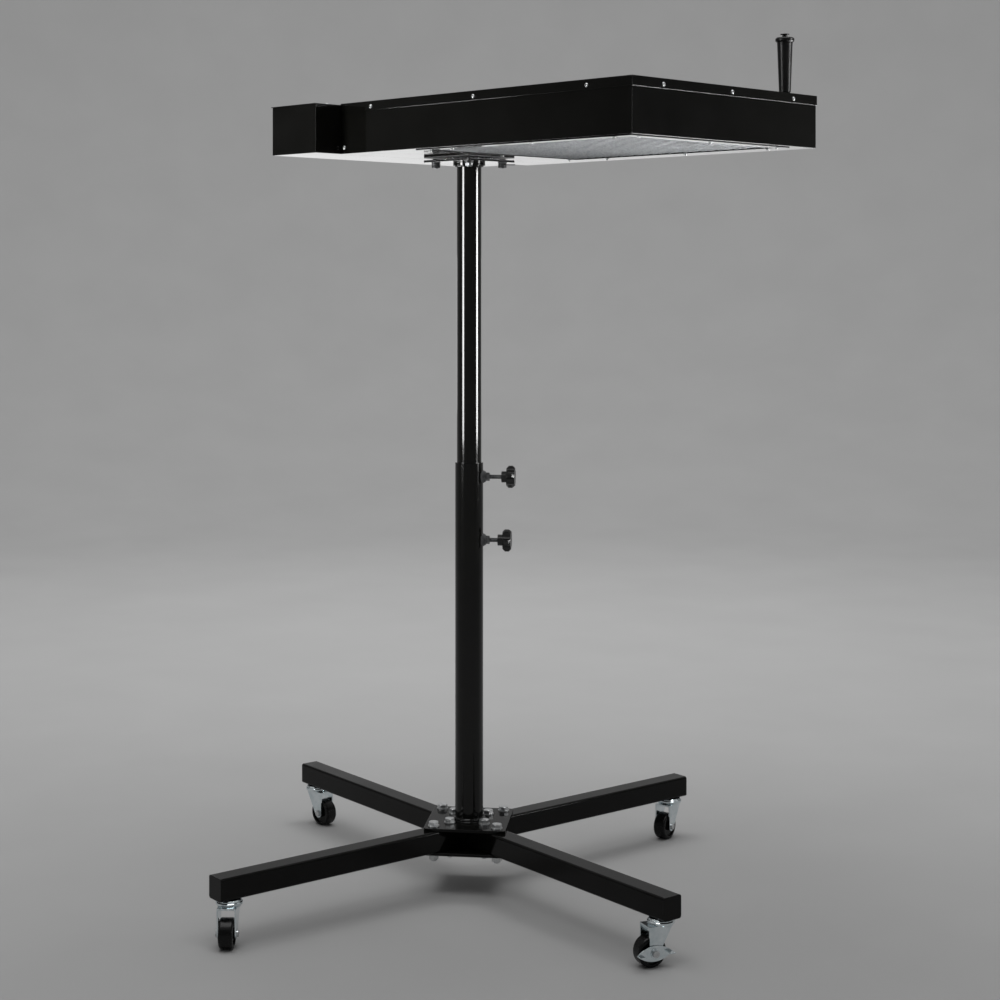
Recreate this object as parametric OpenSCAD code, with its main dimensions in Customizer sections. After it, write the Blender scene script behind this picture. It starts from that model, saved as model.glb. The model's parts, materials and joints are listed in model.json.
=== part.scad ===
// Flash dryer for screen printing: an infrared heater head on a telescoping mast
// and a cross-shaped base on swivel casters.
// Millimetres, +Z up. The origin is on the mast's axis, at the floor.
// +X runs along the head to its free end. The control box is at the head's -X end.
// Front right, front left, back left and back right name the arms as seen from
// the corner between +X and -Y, with the control box to the left.

/* [Base] */
// Angle of the front right arm from +X, in degrees
base_yaw = -6.9; // [-45:0.1:45]
// Distance from the mast's axis to the end of an arm
arm_reach = 527; // [450:1:650]
// Outer width and height of the square arm tube
arm_size = 38; // [34:0.5:42]
// Wall of the arm tube
arm_wall = 2.5; // [2:0.1:3]
// Outer corner radius of the arm tube
arm_corner = 4; // [3.5:0.1:6]
// Height of the arms' underside over the floor
arm_z = 77; // [76:0.5:90]
// Side of the square hub plates
hub_side = 146; // [140:1:170]
// Thickness of each hub plate
hub_t = 5; // [4:0.5:8]
// Corner radius of the hub plates
hub_corner = 6; // [2:0.5:12]
// Distance of the inner hub bolts from the mast's axis
inner_bolt_r = 44; // [43:0.5:50]
// Distance of the outer hub bolts from the mast's axis
outer_bolt_r = 80; // [72:0.5:86]
// Shank diameter of the hub bolts
hub_bolt_d = 10; // [8:0.5:11]

/* [Casters] */
// Distance of each swivel axis from its arm's end
caster_inset = 27; // [24:1:60]
// Diameter of the caster wheel
wheel_d = 50; // [46:0.5:52]
// Width of the wheel's tread
wheel_w = 24; // [18:0.5:25]
// Distance from the swivel axis to the wheel's axle
trail = 21; // [16:0.5:23]
// Thickness of the pressed fork
fork_t = 2.5; // [2:0.1:3]
// Inner width of the fork
fork_gap = 27; // [26:0.5:30]
// Radius of the fork's rounded ends at the axle
fork_tip_r = 8.5; // [7:0.5:10]
// Diameter of the axle
axle_d = 6; // [5:0.5:8]
// Diameter of the upper swivel ring
race_d = 42; // [36:0.5:44]
// Diameter of the caster's stem
stem_d = 10; // [8:0.5:12]
// Directions in which the wheels trail at rest, from +X, in degrees
caster_yaws = [-110, -80, 1, -47]; // [-180:0.1:180]

/* [Mast] */
// Outer diameter of the fixed tube
outer_d = 50.8; // [48:0.1:54]
// Height of the fixed tube's top edge
outer_top = 764; // [650:1:850]
// Outer diameter of the sliding tube
inner_d = 44.4; // [40:0.1:46]
// Wall of the sliding tube
inner_wall = 2.5; // [2:0.1:3.5]
// Length of the sliding tube
inner_len = 760; // [720:1:800]
// Height of the sliding tube's top end
inner_top = 1305; // [1260:1:1305]
// Diameter of the clamp studs
stud_d = 8; // [6:0.5:10]
// Heights of the upper and the lower clamp
clamp_z = [738, 624]; // [600:0.5:750]
// Direction in which the clamp knobs point, from +X, in degrees
knob_yaw = 38.3; // [20:0.1:60]
// How far each stud's tip stands back from the sliding tube at rest
clamp_back = [7, 0.1]; // [0.1:0.1:10]
// Diameter over the knobs' lobes
knob_d = 41; // [34:0.5:50]

/* [Swivel] */
// Side of the square swivel plates
plate_side = 118; // [112:1:130]
// Thickness of the flange on the mast
flange_t = 3; // [2.5:0.1:5]
// Thickness of the pressed turntable sheets
sheet_t = 1.2; // [1:0.1:1.5]
// Gap between the two turntable sheets
ball_gap = 3.8; // [3.4:0.1:4.2]
// Diameter of the bearing balls
ball_d = 4.5; // [4.4:0.1:4.8]
// Radius of the ball ring
ball_r = 44; // [38:0.5:46]
// Distance of the flange bolts from the mast's axis
flange_bolt_r = 60; // [58:0.5:66]
// Diameter of the swivel bolt
swivel_d = 12; // [10:0.5:14]

/* [Head] */
// Width of the heater housing along Y
housing_w = 480; // [440:1:520]
// Height of the heater head, with its cover
housing_h = 89; // [84:1:110]
// Distance from the mast's axis to the head's free end
head_reach = 557; // [450:1:650]
// Distance from the mast's axis to the housing's end at the control box
head_back = 119; // [90:1:160]
// Shift of the housing's centre from the mast's axis along +Y
housing_shift = 38; // [0:1:60]
// Sheet metal of the housing and its covers
skin = 1.5; // [1:0.1:2]
// Depth of the top cover's turned-down edge
cover_lip = 16; // [12:0.5:22]
// Length of the control box along Y
control_l = 506; // [480:1:540]
// Width of the control box along X
control_w = 120.5; // [100:0.5:150]
// Height of the control box, with its cover
control_h = 87; // [80:1:89]
// Shift of the control box's centre from the mast's axis along +Y
control_shift = -8; // [-30:1:30]
// Overhang of the control box's cover
control_overhang = 2; // [1:0.5:4]

/* [Heater] */
// Distance of the window from the housing's free end and near side
window_margin = 32; // [30:0.5:40]
// Distance of the window from the housing's far side
window_far = 74; // [30:0.5:90]
// Width of the guard frame's flat rim
rim_w = 18; // [16:0.5:20]
// Diameter of the guard wires
wire_d = 2; // [1.6:0.1:3]
// Largest distance between neighbouring guard wires
wire_pitch = 19; // [15:0.5:30]
// Number of quartz heater tubes
tube_n = 7; // [4:1:8]
// Diameter of the quartz heater tubes
tube_d = 14; // [10:0.5:16]
// Height of the reflector
reflector_h = 45; // [40:1:50]
// Thickness of the insulation over the reflector
insulation_t = 26; // [10:1:28]

/* [Handle] */
// Distance of the handle from the head's free end
handle_inset_x = 35; // [33:0.5:60]
// Distance of the handle from the head's far side
handle_inset_y = 40; // [28:0.5:60]
// Height of the handle over the top cover
handle_h = 105; // [80:1:120]
// Diameter of the handle's spindle
spindle_d = 9; // [7:0.5:11]
// Diameter of the ring at the grip's top
grip_ring_d = 32; // [28:0.5:38]

/* [Hidden] */
$fn = 48;
// Overrun of every cut
cut = 1;
// Radial clearance of a shaft that turns in its hole
run = 0.06;
// Clearance between pieces that turn or slide past each other
gap = 0.3;
// Radial clearance of a bolt or screw in its hole
hole_gap = 0.2;

// Arms of the base
caster_r = arm_reach - caster_inset;
arm_gap = 1;
arm_from = arm_size/2 + arm_gap;
arm_cap_t = 2.5;
arm_top = arm_z + arm_size;
hub_top = arm_top + hub_t;
hub_washer_d = 20;
hub_washer_t = 2;
hub_head_af = 16;
hub_head_h = 6.4;
hub_nut_h = 8;
hub_bolt_end = 3;
ARM_TURNS = [0, 90, 180, 270];

// Casters
axle_z = wheel_d/2;
fork_top_z = 66.5;
fork_front = 11;
wheel_hub_d = 17;
wheel_rim_w = 6;
wheel_recess = 2.5;
wheel_hub_w = fork_gap - 2*gap;
tread_r = 4;
race_lower_d = race_d + 3;
race_z = fork_top_z + 6;
race_hub_d = 26;
race_groove = 1.2;
stem_rivet_d = 17;
stem_rivet_h = 3.6;
stem_nut_h = 8;
stem_nut_af = 16;
axle_head_d = 11;
axle_head_h = 3;
pedal_t = 1.6;
pedal_l = 64;
pedal_h = 25;
pedal_boss_d = 15;
pedal_boss_h = 1.8;
pedal_tab_l = 9;
pedal_tab_w = 12;
BRAKED = 0;

// Mast and its clamps
tube_gap = 0.3;
outer_bore = inner_d + 2*tube_gap;
foot_weld = 5.5;
collar_d = 58;
collar_h = 6;
clamp_boss_d = 27;
clamp_boss_end_d = 18;
clamp_boss_r = 30.5;
clamp_nut_af = 13;
clamp_nut_h = 6.8;
stud_len = 43;
stud_in_knob = 13;
knob_hub_d = 20;
knob_hub_l = 9;
knob_lobe_t = 15;
knob_lobes = 5;
knob_valley_r = 9;
knob_crown = 4;
knob_turns = [0, 26];

// Swivel plates and head plate
lower_z = inner_top + flange_t;
upper_z = lower_z + sheet_t + ball_gap;
plate_corner = 4;
ball_n = 30;
groove_r = ball_d/2 + 0.1;
groove_depth = (ball_d - ball_gap)/2 + run;
flange_bolt_d = 8;
flange_head_d = 14;
flange_head_h = 2.4;
flange_nut_af = 13;
flange_nut_h = 5;
cone_washer_h = 3.2;
cone_washer_d = 17;
tab_t = 1.2;
tab_w = 12;
tab_from = 52;
tab_to = 83;
tab_turn = 45;
head_plate_t = 2.8;
head_bolt_at = 40;
head_bolt_d = 6;
head_bolt_head_d = 12;
head_bolt_nut_h = 5;
head_bolt_nut_af = 10;
swivel_head_d = 28;
swivel_head_h = 7;
swivel_nut_af = 19;
swivel_nut_h = 10;
swivel_washer_d = 34;
swivel_washer_t = 2.5;

// Head
head_z = upper_z + sheet_t + head_plate_t;
head_top = head_z + housing_h;
x_free = head_reach;
x_ctl = -head_back;
housing_l = head_reach + head_back;
y_near = housing_shift - housing_w/2;
y_far = housing_shift + housing_w/2;
wall_h = housing_h - skin;
guard_z = head_z - skin;
ledge = 7;
frame_gap = 1;
win_x1 = x_free - window_margin;
win_x0 = plate_side/2 + frame_gap + rim_w;
window_l = win_x1 - win_x0;
win_y0 = y_near + window_margin;
win_y1 = y_far - window_far;
wire_over = 6;
screw_d = 3.5;
screw_head_d = 7;
screw_head_h = 2.4;
screw_len = 9;
lid_screw_drop = 9.2;
near_screw_shares = [0.135, 0.506, 0.881];
end_screw_shares = [0.152, 0.514, 0.862];
side_screw_x = 8.5;
side_screw_z = 11;
guard_long_shares = [0.16, 0.55, 0.93];
guard_end_shares = [0.05, 0.5, 0.95];
reflector_t = 1;
reflector_over = 1.5;
holder_w = 22;
holder_l = 14;
holder_drop = 5;
roof_lip = 6;
roof_share = 0.42;
tube_share = 0.46;
tube_fit = 0.2;
wire_port_d = 22;
wire_port_y = 100;
wire_port_z = 35;

// Control box
ctl_x1 = x_ctl;
ctl_x0 = ctl_x1 - control_w;
ctl_y0 = control_shift - control_l/2;
ctl_wall_h = control_h - skin;
ctl_screw_inset = 12;
ctl_flange = 20;
ctl_screw_shares = [0.07, 0.50, 0.93];
panel_z = 42;
switch_at = -150;
dial_at = -80;
gland_at = 180;
switch_y = control_shift + switch_at;
dial_y = control_shift + dial_at;
gland_y = control_shift + gland_at;
switch_l = 30;
switch_w = 22;
bezel_rim = 3;
bezel_out = 2;
bezel_in = 16;
rocker_r = 11;
rocker_w = 14;
rocker_sink = 3;
rocker_rise = 1.5;
rocker_throw = 10;
dial_d = 32;
dial_h = 15;
dial_shaft_d = 6;
dial_shaft_in = 18;
dial_skirt_d = 36;
dial_skirt_h = 3;
dial_flutes = 18;
dial_flute_r = 1.4;
gland_bore = 10.5;
gland_thread_d = 20;
gland_hex_af = 25;
gland_hex_h = 6;
gland_cap_d = 24;
gland_cap_l = 16;
gland_in = 8;
gland_nut_h = 4.5;
terminal_l = 90;
terminal_w = 24;
terminal_h = 18;
terminal_x = 45;
terminal_y = 60;
terminal_n = 6;
terminal_screw_d = 7;
terminal_rib = 2.5;

// Handle
handle_x = x_free - handle_inset_x;
handle_y = y_far - handle_inset_y;
spindle_shank_d = 8;
spindle_nut_af = 13;
spindle_base_d = 17;
spindle_base_h = 4.5;
spindle_cap_d = 15;
spindle_cap_h = 2.2;
spindle_end = 9;
handle_neck_h = 4;
grip_ring_h = 8;
grip_low_d = 20;
grip_high_d = 26;
grip_edge = 2;

// Shared shapes

module rounded_square(w, d, r) {
    square([w - 2*r, d], center = true);
    square([w, d - 2*r], center = true);
    for (sx = [-1, 1], sy = [-1, 1])
        translate([sx*(w/2 - r), sy*(d/2 - r)]) circle(r = r);
}

module bored(d, bore, h) {
    difference() {
        cylinder(d = d, h = h);
        translate([0, 0, -cut]) cylinder(d = bore, h = h + 2*cut);
    }
}

// Hexagon with the corners of its top face turned off
module hex_head(af, h) {
    tip = af/cos(30)/2;
    drop = (tip - af/2)*tan(30);
    intersection() {
        cylinder(r = tip, h = h, $fn = 6);
        rotate_extrude() polygon([[0, 0], [tip, 0], [tip, h - drop], [af/2, h], [0, h]]);
    }
}

module hex_nut(af, bore, h) {
    difference() {
        hex_head(af, h);
        translate([0, 0, -cut]) cylinder(d = bore, h = h + 2*cut);
    }
}

// A screw that points along -Z from the face at z = 0
module pan_screw(len) {
    translate([0, 0, -len]) cylinder(d = screw_d, h = len);
    cylinder(d1 = screw_head_d, d2 = screw_head_d - screw_head_h, h = screw_head_h);
}

module at_arm(i, r) {
    rotate([0, 0, base_yaw + ARM_TURNS[i]]) translate([r, 0, 0]) children();
}

module at_caster(i) {
    at_arm(i, caster_r) rotate([0, 0, caster_yaws[i] - base_yaw - ARM_TURNS[i]]) children();
}

module at_hub_bolts() {
    for (i = [0:3], r = [inner_bolt_r, outer_bolt_r]) at_arm(i, r) children();
}

// Base

module hub_plate(z) {
    difference() {
        translate([0, 0, z]) rotate([0, 0, base_yaw + 45]) linear_extrude(hub_t)
            rounded_square(hub_side, hub_side, hub_corner);
        at_hub_bolts() translate([0, 0, z - cut])
            cylinder(d = hub_bolt_d + 2*hole_gap, h = hub_t + 2*cut);
    }
}

module hub_top_plate() {
    color("#1b1b1c") hub_plate(arm_top);
}

module hub_bottom_plate() {
    color("#1b1b1c") hub_plate(arm_z - hub_t);
}

module arm(i) {
    len = arm_reach - arm_cap_t - arm_from;
    color("#1b1b1c") difference() {
        at_arm(i, arm_from) translate([0, 0, arm_z + arm_size/2]) rotate([90, 0, 90])
            linear_extrude(len) difference() {
                rounded_square(arm_size, arm_size, arm_corner);
                rounded_square(arm_size - 2*arm_wall, arm_size - 2*arm_wall, arm_corner - arm_wall);
            }
        for (r = [inner_bolt_r, outer_bolt_r]) at_arm(i, r) translate([0, 0, arm_z - cut])
            cylinder(d = hub_bolt_d + 2*hole_gap, h = arm_size + 2*cut);
        at_arm(i, caster_r) translate([0, 0, arm_z - cut])
            cylinder(d = stem_d + 2*hole_gap, h = arm_wall + 2*cut);
    }
}

module arm_front_right() { arm(0); }
module arm_back_right() { arm(1); }
module arm_back_left() { arm(2); }
module arm_front_left() { arm(3); }

module arm_end_caps() {
    color("#1b1b1c") for (i = [0:3])
        at_arm(i, arm_reach - arm_cap_t) translate([0, 0, arm_z + arm_size/2]) rotate([90, 0, 90])
            linear_extrude(arm_cap_t) rounded_square(arm_size, arm_size, arm_corner);
}

module hub_bolts() {
    low = arm_z - hub_t - hub_washer_t - hub_nut_h - hub_bolt_end;
    color("#b9bcc0") at_hub_bolts() {
        translate([0, 0, low]) cylinder(d = hub_bolt_d, h = hub_top + hub_washer_t - low);
        translate([0, 0, hub_top]) bored(hub_washer_d, hub_bolt_d, hub_washer_t);
        translate([0, 0, hub_top + hub_washer_t])
            hex_head(hub_head_af, hub_head_h);
    }
}

module hub_nuts() {
    color("#b9bcc0") at_hub_bolts() {
        translate([0, 0, arm_z - hub_t - hub_washer_t])
            bored(hub_washer_d, hub_bolt_d + 2*run, hub_washer_t);
        translate([0, 0, arm_z - hub_t - hub_washer_t]) mirror([0, 0, 1])
            hex_nut(hub_head_af, hub_bolt_d + 2*run, hub_nut_h);
    }
}

// The fixed tube, with the weld round its foot and a hole for each clamp stud
module outer_tube() {
    color("#1b1b1c") difference() {
        rotate_extrude() polygon([
            [outer_bore/2, hub_top],
            [outer_d/2 + foot_weld, hub_top],
            [outer_d/2, hub_top + foot_weld],
            [outer_d/2, outer_top],
            [outer_bore/2, outer_top]]);
        for (i = [0:1]) at_clamp(i, 0) cylinder(d = stud_d + 2*hole_gap, h = outer_d);
    }
}

// Clamps: from here on, +Z is along the stud, away from the mast

module at_clamp(i, r) {
    translate([0, 0, clamp_z[i]]) rotate([0, 0, knob_yaw]) rotate([0, 90, 0])
        translate([0, 0, r]) children();
}

module clamp_nuts() {
    root = outer_bore/2;
    color("#6f7276") for (i = [0:1]) difference() {
        at_clamp(i, 0) {
            translate([0, 0, root])
                cylinder(d1 = clamp_boss_d, d2 = clamp_boss_end_d, h = clamp_boss_r - root);
            translate([0, 0, clamp_boss_r]) hex_head(clamp_nut_af, clamp_nut_h);
        }
        translate([0, 0, clamp_z[i] - clamp_boss_d])
            cylinder(d = outer_d, h = 2*clamp_boss_d);
        at_clamp(i, 0) cylinder(d = stud_d + 2*run, h = outer_d + clamp_nut_h);
    }
}

module stud(i) {
    color("#8d9094") at_clamp(i, inner_d/2 + clamp_back[i])
        cylinder(d = stud_d, h = stud_len);
}

module knob(i) {
    from = inner_d/2 + clamp_back[i] + stud_len - stud_in_knob;
    top = knob_hub_l + knob_lobe_t;
    color("#141414") at_clamp(i, from) rotate([0, 0, knob_turns[i]]) difference() {
        union() {
            cylinder(d = knob_hub_d, h = knob_hub_l + cut);
            translate([0, 0, knob_hub_l]) intersection() {
                linear_extrude(knob_lobe_t) difference() {
                    circle(d = knob_d);
                    for (a = [0:knob_lobes - 1]) rotate(a*360/knob_lobes)
                        translate([knob_d/2 + knob_valley_r/3, 0]) circle(r = knob_valley_r);
                }
                rotate_extrude() polygon([
                    [0, 0], [knob_d/2 - knob_crown, 0], [knob_d/2, knob_crown],
                    [knob_d/2, knob_lobe_t - knob_crown],
                    [knob_d/2 - knob_crown, knob_lobe_t], [0, knob_lobe_t]]);
            }
        }
        translate([0, 0, -cut]) cylinder(d = stud_d + 2*run, h = stud_in_knob + gap + cut);
    }
}

module upper_stud() { stud(0); }
module upper_knob() { knob(0); }
module lower_stud() { stud(1); }
module lower_knob() { knob(1); }

// Casters, drawn round the swivel axis with the axle towards +X

module caster_stems() {
    low = fork_top_z - fork_t - gap - stem_rivet_h;
    color("#b9bcc0") for (i = [0:3]) at_caster(i) {
        translate([0, 0, low]) {
            cylinder(d = stem_rivet_d, h = stem_rivet_h);
            cylinder(d = stem_d, h = arm_z + arm_wall + stem_nut_h + cut - low);
        }
        translate([0, 0, arm_z + arm_wall]) hex_nut(stem_nut_af, stem_d, stem_nut_h);
    }
}

module caster_top_races() {
    h = arm_z - race_z;
    color("#c8cbce") for (i = [0:3]) at_caster(i) translate([0, 0, race_z]) difference() {
        rotate_extrude() polygon([
            [0, h], [race_hub_d/2, h], [race_d/2 - h/3, 2*h/3],
            [race_d/2, h/4], [race_d/2, 0], [0, 0]]);
        translate([0, 0, -cut]) cylinder(d = stem_d, h = h + 2*cut);
    }
}

module fork_leg_outline() {
    top = fork_top_z - fork_t;
    hull() {
        translate([trail, axle_z]) circle(r = fork_tip_r, $fn = 32);
        translate([-fork_front, top]) square([trail + fork_tip_r + fork_front, fork_t]);
    }
}

module fork(i) {
    legs = [fork_gap/2, -fork_gap/2 - fork_t];
    color("#c8cbce") at_caster(i) difference() {
        union() {
            for (y = legs) translate([0, y + fork_t, 0]) rotate([90, 0, 0])
                linear_extrude(fork_t) fork_leg_outline();
            translate([-fork_front, -fork_gap/2 - fork_t, fork_top_z - fork_t])
                cube([trail + fork_tip_r + fork_front, fork_gap + 2*fork_t, fork_t]);
            translate([0, 0, fork_top_z - fork_t])
                cylinder(d = race_d - 2*race_groove, h = fork_t);
            translate([0, 0, fork_top_z]) rotate_extrude() polygon([
                [0, 0], [race_lower_d/2 - race_groove, 0], [race_lower_d/2, race_groove],
                [race_lower_d/2, race_z - gap - fork_top_z - race_groove],
                [race_lower_d/2 - race_groove, race_z - gap - fork_top_z],
                [0, race_z - gap - fork_top_z]]);
        }
        translate([0, 0, fork_top_z - fork_t - cut])
            cylinder(d = stem_d + 2*run, h = race_z - fork_top_z + fork_t + 2*cut);
        translate([trail, fork_gap/2 + fork_t + cut, axle_z]) rotate([90, 0, 0])
            cylinder(d = axle_d, h = fork_gap + 2*fork_t + 2*cut);
    }
}

module fork_front_right() { fork(0); }
module fork_back_right() { fork(1); }
module fork_back_left() { fork(2); }
module fork_front_left() { fork(3); }

// The braked caster has a longer axle, which also carries the pedal
function axle_extra(i) = i == BRAKED ? pedal_t + pedal_boss_h + 2*gap : 0;

module axle(i) {
    half = fork_gap/2 + fork_t;
    color("#b9bcc0") at_caster(i) translate([trail, 0, axle_z]) rotate([-90, 0, 0]) {
        translate([0, 0, -half]) cylinder(d = axle_d, h = 2*half + axle_extra(i));
        translate([0, 0, half + axle_extra(i)]) cylinder(d = axle_head_d, h = axle_head_h);
        translate([0, 0, -half]) mirror([0, 0, 1]) hex_head(axle_head_d, axle_head_h);
    }
}

module axle_front_right() { axle(0); }
module axle_back_right() { axle(1); }
module axle_back_left() { axle(2); }
module axle_front_left() { axle(3); }

module wheel(i) {
    r = wheel_d/2;
    w = wheel_w/2;
    color("#151515") at_caster(i) translate([trail, 0, axle_z]) rotate([-90, 0, 0])
        rotate_extrude() difference() {
            union() {
                translate([0, -w]) square([r - tread_r, wheel_w]);
                translate([0, -w + tread_r]) square([r, wheel_w - 2*tread_r]);
                for (y = [-w + tread_r, w - tread_r])
                    translate([r - tread_r, y]) circle(r = tread_r);
                translate([0, -wheel_hub_w/2]) square([wheel_hub_d/2, wheel_hub_w]);
            }
            translate([-r, -wheel_w]) square([r + axle_d/2 + run, 2*wheel_w]);
            for (y = [-w - cut, w - wheel_recess]) translate([wheel_hub_d/2, y])
                square([r - wheel_rim_w - wheel_hub_d/2, wheel_recess + cut]);
        }
}

module wheel_front_right() { wheel(0); }
module wheel_back_right() { wheel(1); }
module wheel_back_left() { wheel(2); }
module wheel_front_left() { wheel(3); }

// A leaf outside the fork, which rocks about the axle, with a foot tab at each end
module brake_pedal() {
    half = pedal_l/2;
    leaf_r = (half*half + pedal_h*pedal_h/4)/pedal_h;
    from = fork_gap/2 + fork_t + gap;
    color("#c8cbce") at_caster(BRAKED) translate([trail, from, axle_z]) rotate([-90, 0, 0])
        difference() {
            union() {
                linear_extrude(pedal_t) intersection() {
                    translate([0, leaf_r - pedal_h/2]) circle(r = leaf_r, $fn = 96);
                    translate([0, pedal_h/2 - leaf_r]) circle(r = leaf_r, $fn = 96);
                }
                cylinder(d = pedal_boss_d, h = pedal_t + pedal_boss_h);
                for (s = [-1, 1])
                    translate([s*(half - pedal_tab_l/2) - pedal_tab_l/2, -pedal_t/2, 0])
                        cube([pedal_tab_l, pedal_t, pedal_tab_w]);
            }
            translate([0, 0, -cut])
                cylinder(d = axle_d + 2*run, h = pedal_t + pedal_boss_h + 2*cut);
        }
}

// Sliding mast

module inner_tube() {
    color("#1b1b1c") translate([0, 0, inner_top - inner_len])
        bored(inner_d, inner_d - 2*inner_wall, inner_len);
}

module at_corners(r) {
    for (a = ARM_TURNS) rotate([0, 0, a + 45]) translate([r, 0, 0]) children();
}

module swivel_square(z, t) {
    translate([0, 0, z]) linear_extrude(t)
        rounded_square(plate_side, plate_side, plate_corner);
}

// Flange and its socket collar, welded to the sliding tube
module mast_flange() {
    color("#1b1b1c") difference() {
        union() {
            swivel_square(inner_top, flange_t);
            translate([0, 0, inner_top - collar_h]) bored(collar_d, inner_d, collar_h);
        }
        translate([0, 0, inner_top - cut]) cylinder(d = swivel_d, h = flange_t + 2*cut);
        at_corners(flange_bolt_r) translate([0, 0, inner_top - cut])
            cylinder(d = flange_bolt_d + 2*hole_gap, h = flange_t + 2*cut);
    }
}

module ball_groove(z) {
    translate([0, 0, z]) rotate_extrude() translate([ball_r, 0]) circle(r = groove_r);
}

module turntable_lower() {
    color("#3a3b3d") difference() {
        swivel_square(lower_z, sheet_t);
        translate([0, 0, lower_z - cut]) cylinder(d = swivel_d, h = sheet_t + 2*cut);
        at_corners(flange_bolt_r) translate([0, 0, lower_z - cut])
            cylinder(d = flange_bolt_d + 2*hole_gap, h = sheet_t + 2*cut);
        ball_groove(lower_z + sheet_t - groove_depth + groove_r);
    }
}

module bearing_balls() {
    z = lower_z + sheet_t - groove_depth + ball_d/2;
    color("#e6e8ea") for (a = [0:ball_n - 1]) rotate([0, 0, a*360/ball_n])
        translate([ball_r, 0, z]) sphere(d = ball_d, $fn = 24);
}

module flange_bolts() {
    top = lower_z + sheet_t;
    under = inner_top - cone_washer_h;
    nut_z = under - tab_t - flange_nut_h;
    color("#8d9094") at_corners(flange_bolt_r) {
        translate([0, 0, nut_z - cut]) cylinder(d = flange_bolt_d, h = top - nut_z + cut);
        translate([0, 0, top])
            cylinder(d1 = flange_head_d, d2 = flange_head_d - flange_head_h, h = flange_head_h);
        translate([0, 0, under]) cylinder(d1 = flange_nut_af, d2 = cone_washer_d, h = cone_washer_h);
        translate([0, 0, nut_z + flange_nut_h]) mirror([0, 0, 1])
            hex_nut(flange_nut_af, flange_bolt_d, flange_nut_h);
    }
    color("#8d9094") for (a = [90, 180, 270]) rotate([0, 0, tab_turn + a])
        translate([flange_bolt_r, 0, under - tab_t])
            bored(cone_washer_d, flange_bolt_d + 2*run, tab_t);
}

// Thin strip under one corner bolt of the flange
module corner_tab() {
    z = inner_top - cone_washer_h - tab_t;
    color("#2a2b2c") rotate([0, 0, tab_turn]) difference() {
        translate([tab_from, -tab_w/2, z]) cube([tab_to - tab_from, tab_w, tab_t]);
        translate([flange_bolt_r, 0, z - cut])
            cylinder(d = flange_bolt_d + 2*run, h = tab_t + 2*cut);
    }
}

// The bolt that the head turns on, held by the flange, with its nut inside the head
module swivel_bolt() {
    washer_z = head_z + skin + gap;
    color("#8d9094") {
        translate([0, 0, inner_top - swivel_head_h]) cylinder(d = swivel_head_d, h = swivel_head_h);
        translate([0, 0, inner_top - swivel_head_h])
            cylinder(d = swivel_d, h = washer_z + swivel_washer_t + swivel_nut_h + cut
                - inner_top + swivel_head_h);
        translate([0, 0, washer_z]) bored(swivel_washer_d, swivel_d, swivel_washer_t);
        translate([0, 0, washer_z + swivel_washer_t])
            hex_nut(swivel_nut_af, swivel_d, swivel_nut_h);
    }
}

// Turning side of the swivel

module at_head_bolts() {
    for (sx = [-1, 1], sy = [-1, 1]) translate([sx*head_bolt_at, sy*head_bolt_at, 0]) children();
}

module head_bolt_cuts() {
    at_head_bolts() {
        translate([0, 0, upper_z - cut]) cylinder(d = head_bolt_d, h = head_z + skin + 2*cut - upper_z);
        translate([0, 0, upper_z]) head_bolt_cone();
    }
    translate([0, 0, upper_z - cut])
        cylinder(d = swivel_d + 2*run, h = head_z + skin + 2*cut - upper_z);
}

module head_bolt_cone() {
    depth = (head_bolt_head_d - head_bolt_d)/2;
    cylinder(d1 = head_bolt_head_d, d2 = head_bolt_d, h = depth);
}

module turntable_upper() {
    color("#3a3b3d") difference() {
        swivel_square(upper_z, sheet_t);
        head_bolt_cuts();
        ball_groove(upper_z + groove_depth - groove_r);
    }
}

module head_plate() {
    color("#1b1b1c") difference() {
        swivel_square(upper_z + sheet_t, head_plate_t);
        head_bolt_cuts();
    }
}

module head_plate_bolts() {
    color("#8d9094") at_head_bolts() {
        translate([0, 0, upper_z]) head_bolt_cone();
        translate([0, 0, upper_z])
            cylinder(d = head_bolt_d, h = head_z + skin + head_bolt_nut_h + cut - upper_z);
        translate([0, 0, head_z + skin])
            hex_nut(head_bolt_nut_af, head_bolt_d, head_bolt_nut_h);
    }
}

// Heater head

module at_guard_screws() {
    mid = rim_w - ledge;
    x0 = win_x0 - mid;
    x1 = win_x1 + mid;
    y0 = win_y0 - mid;
    y1 = win_y1 + mid;
    for (s = guard_long_shares, y = [y0, y1]) translate([x0 + s*(x1 - x0), y, 0]) children();
    for (s = guard_end_shares, x = [x0, x1]) translate([x, y0 + s*(y1 - y0), 0]) children();
}

module guard_screw_cuts() {
    at_guard_screws() translate([0, 0, guard_z - cut])
        cylinder(d = screw_d + 2*run, h = 2*skin + 2*cut);
}

// Screws through the cover's turned-down edge, each with +Z out of its face
module at_lid_screws() {
    z = head_top - lid_screw_drop;
    for (s = near_screw_shares) {
        translate([x_free - s*housing_l, y_near - skin, z]) rotate([90, 0, 0]) children();
        translate([x_free - s*housing_l, y_far + skin, z]) rotate([-90, 0, 0]) children();
    }
    for (s = end_screw_shares)
        translate([x_free + skin, y_near + s*housing_w, z]) rotate([0, 90, 0]) children();
}

module at_side_screws() {
    x = x_ctl + side_screw_x;
    z = head_z + side_screw_z;
    translate([x, y_near, z]) rotate([90, 0, 0]) children();
    translate([x, y_far, z]) rotate([-90, 0, 0]) children();
}

module at_control_screws() {
    for (s = ctl_screw_shares, x = [ctl_x0 + ctl_screw_inset, ctl_x1 - ctl_screw_inset])
        translate([x, ctl_y0 + s*control_l, head_z + control_h]) children();
}

module screw_cut() {
    translate([0, 0, -screw_len]) cylinder(d = screw_d + 2*run, h = screw_len + cut);
}

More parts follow.
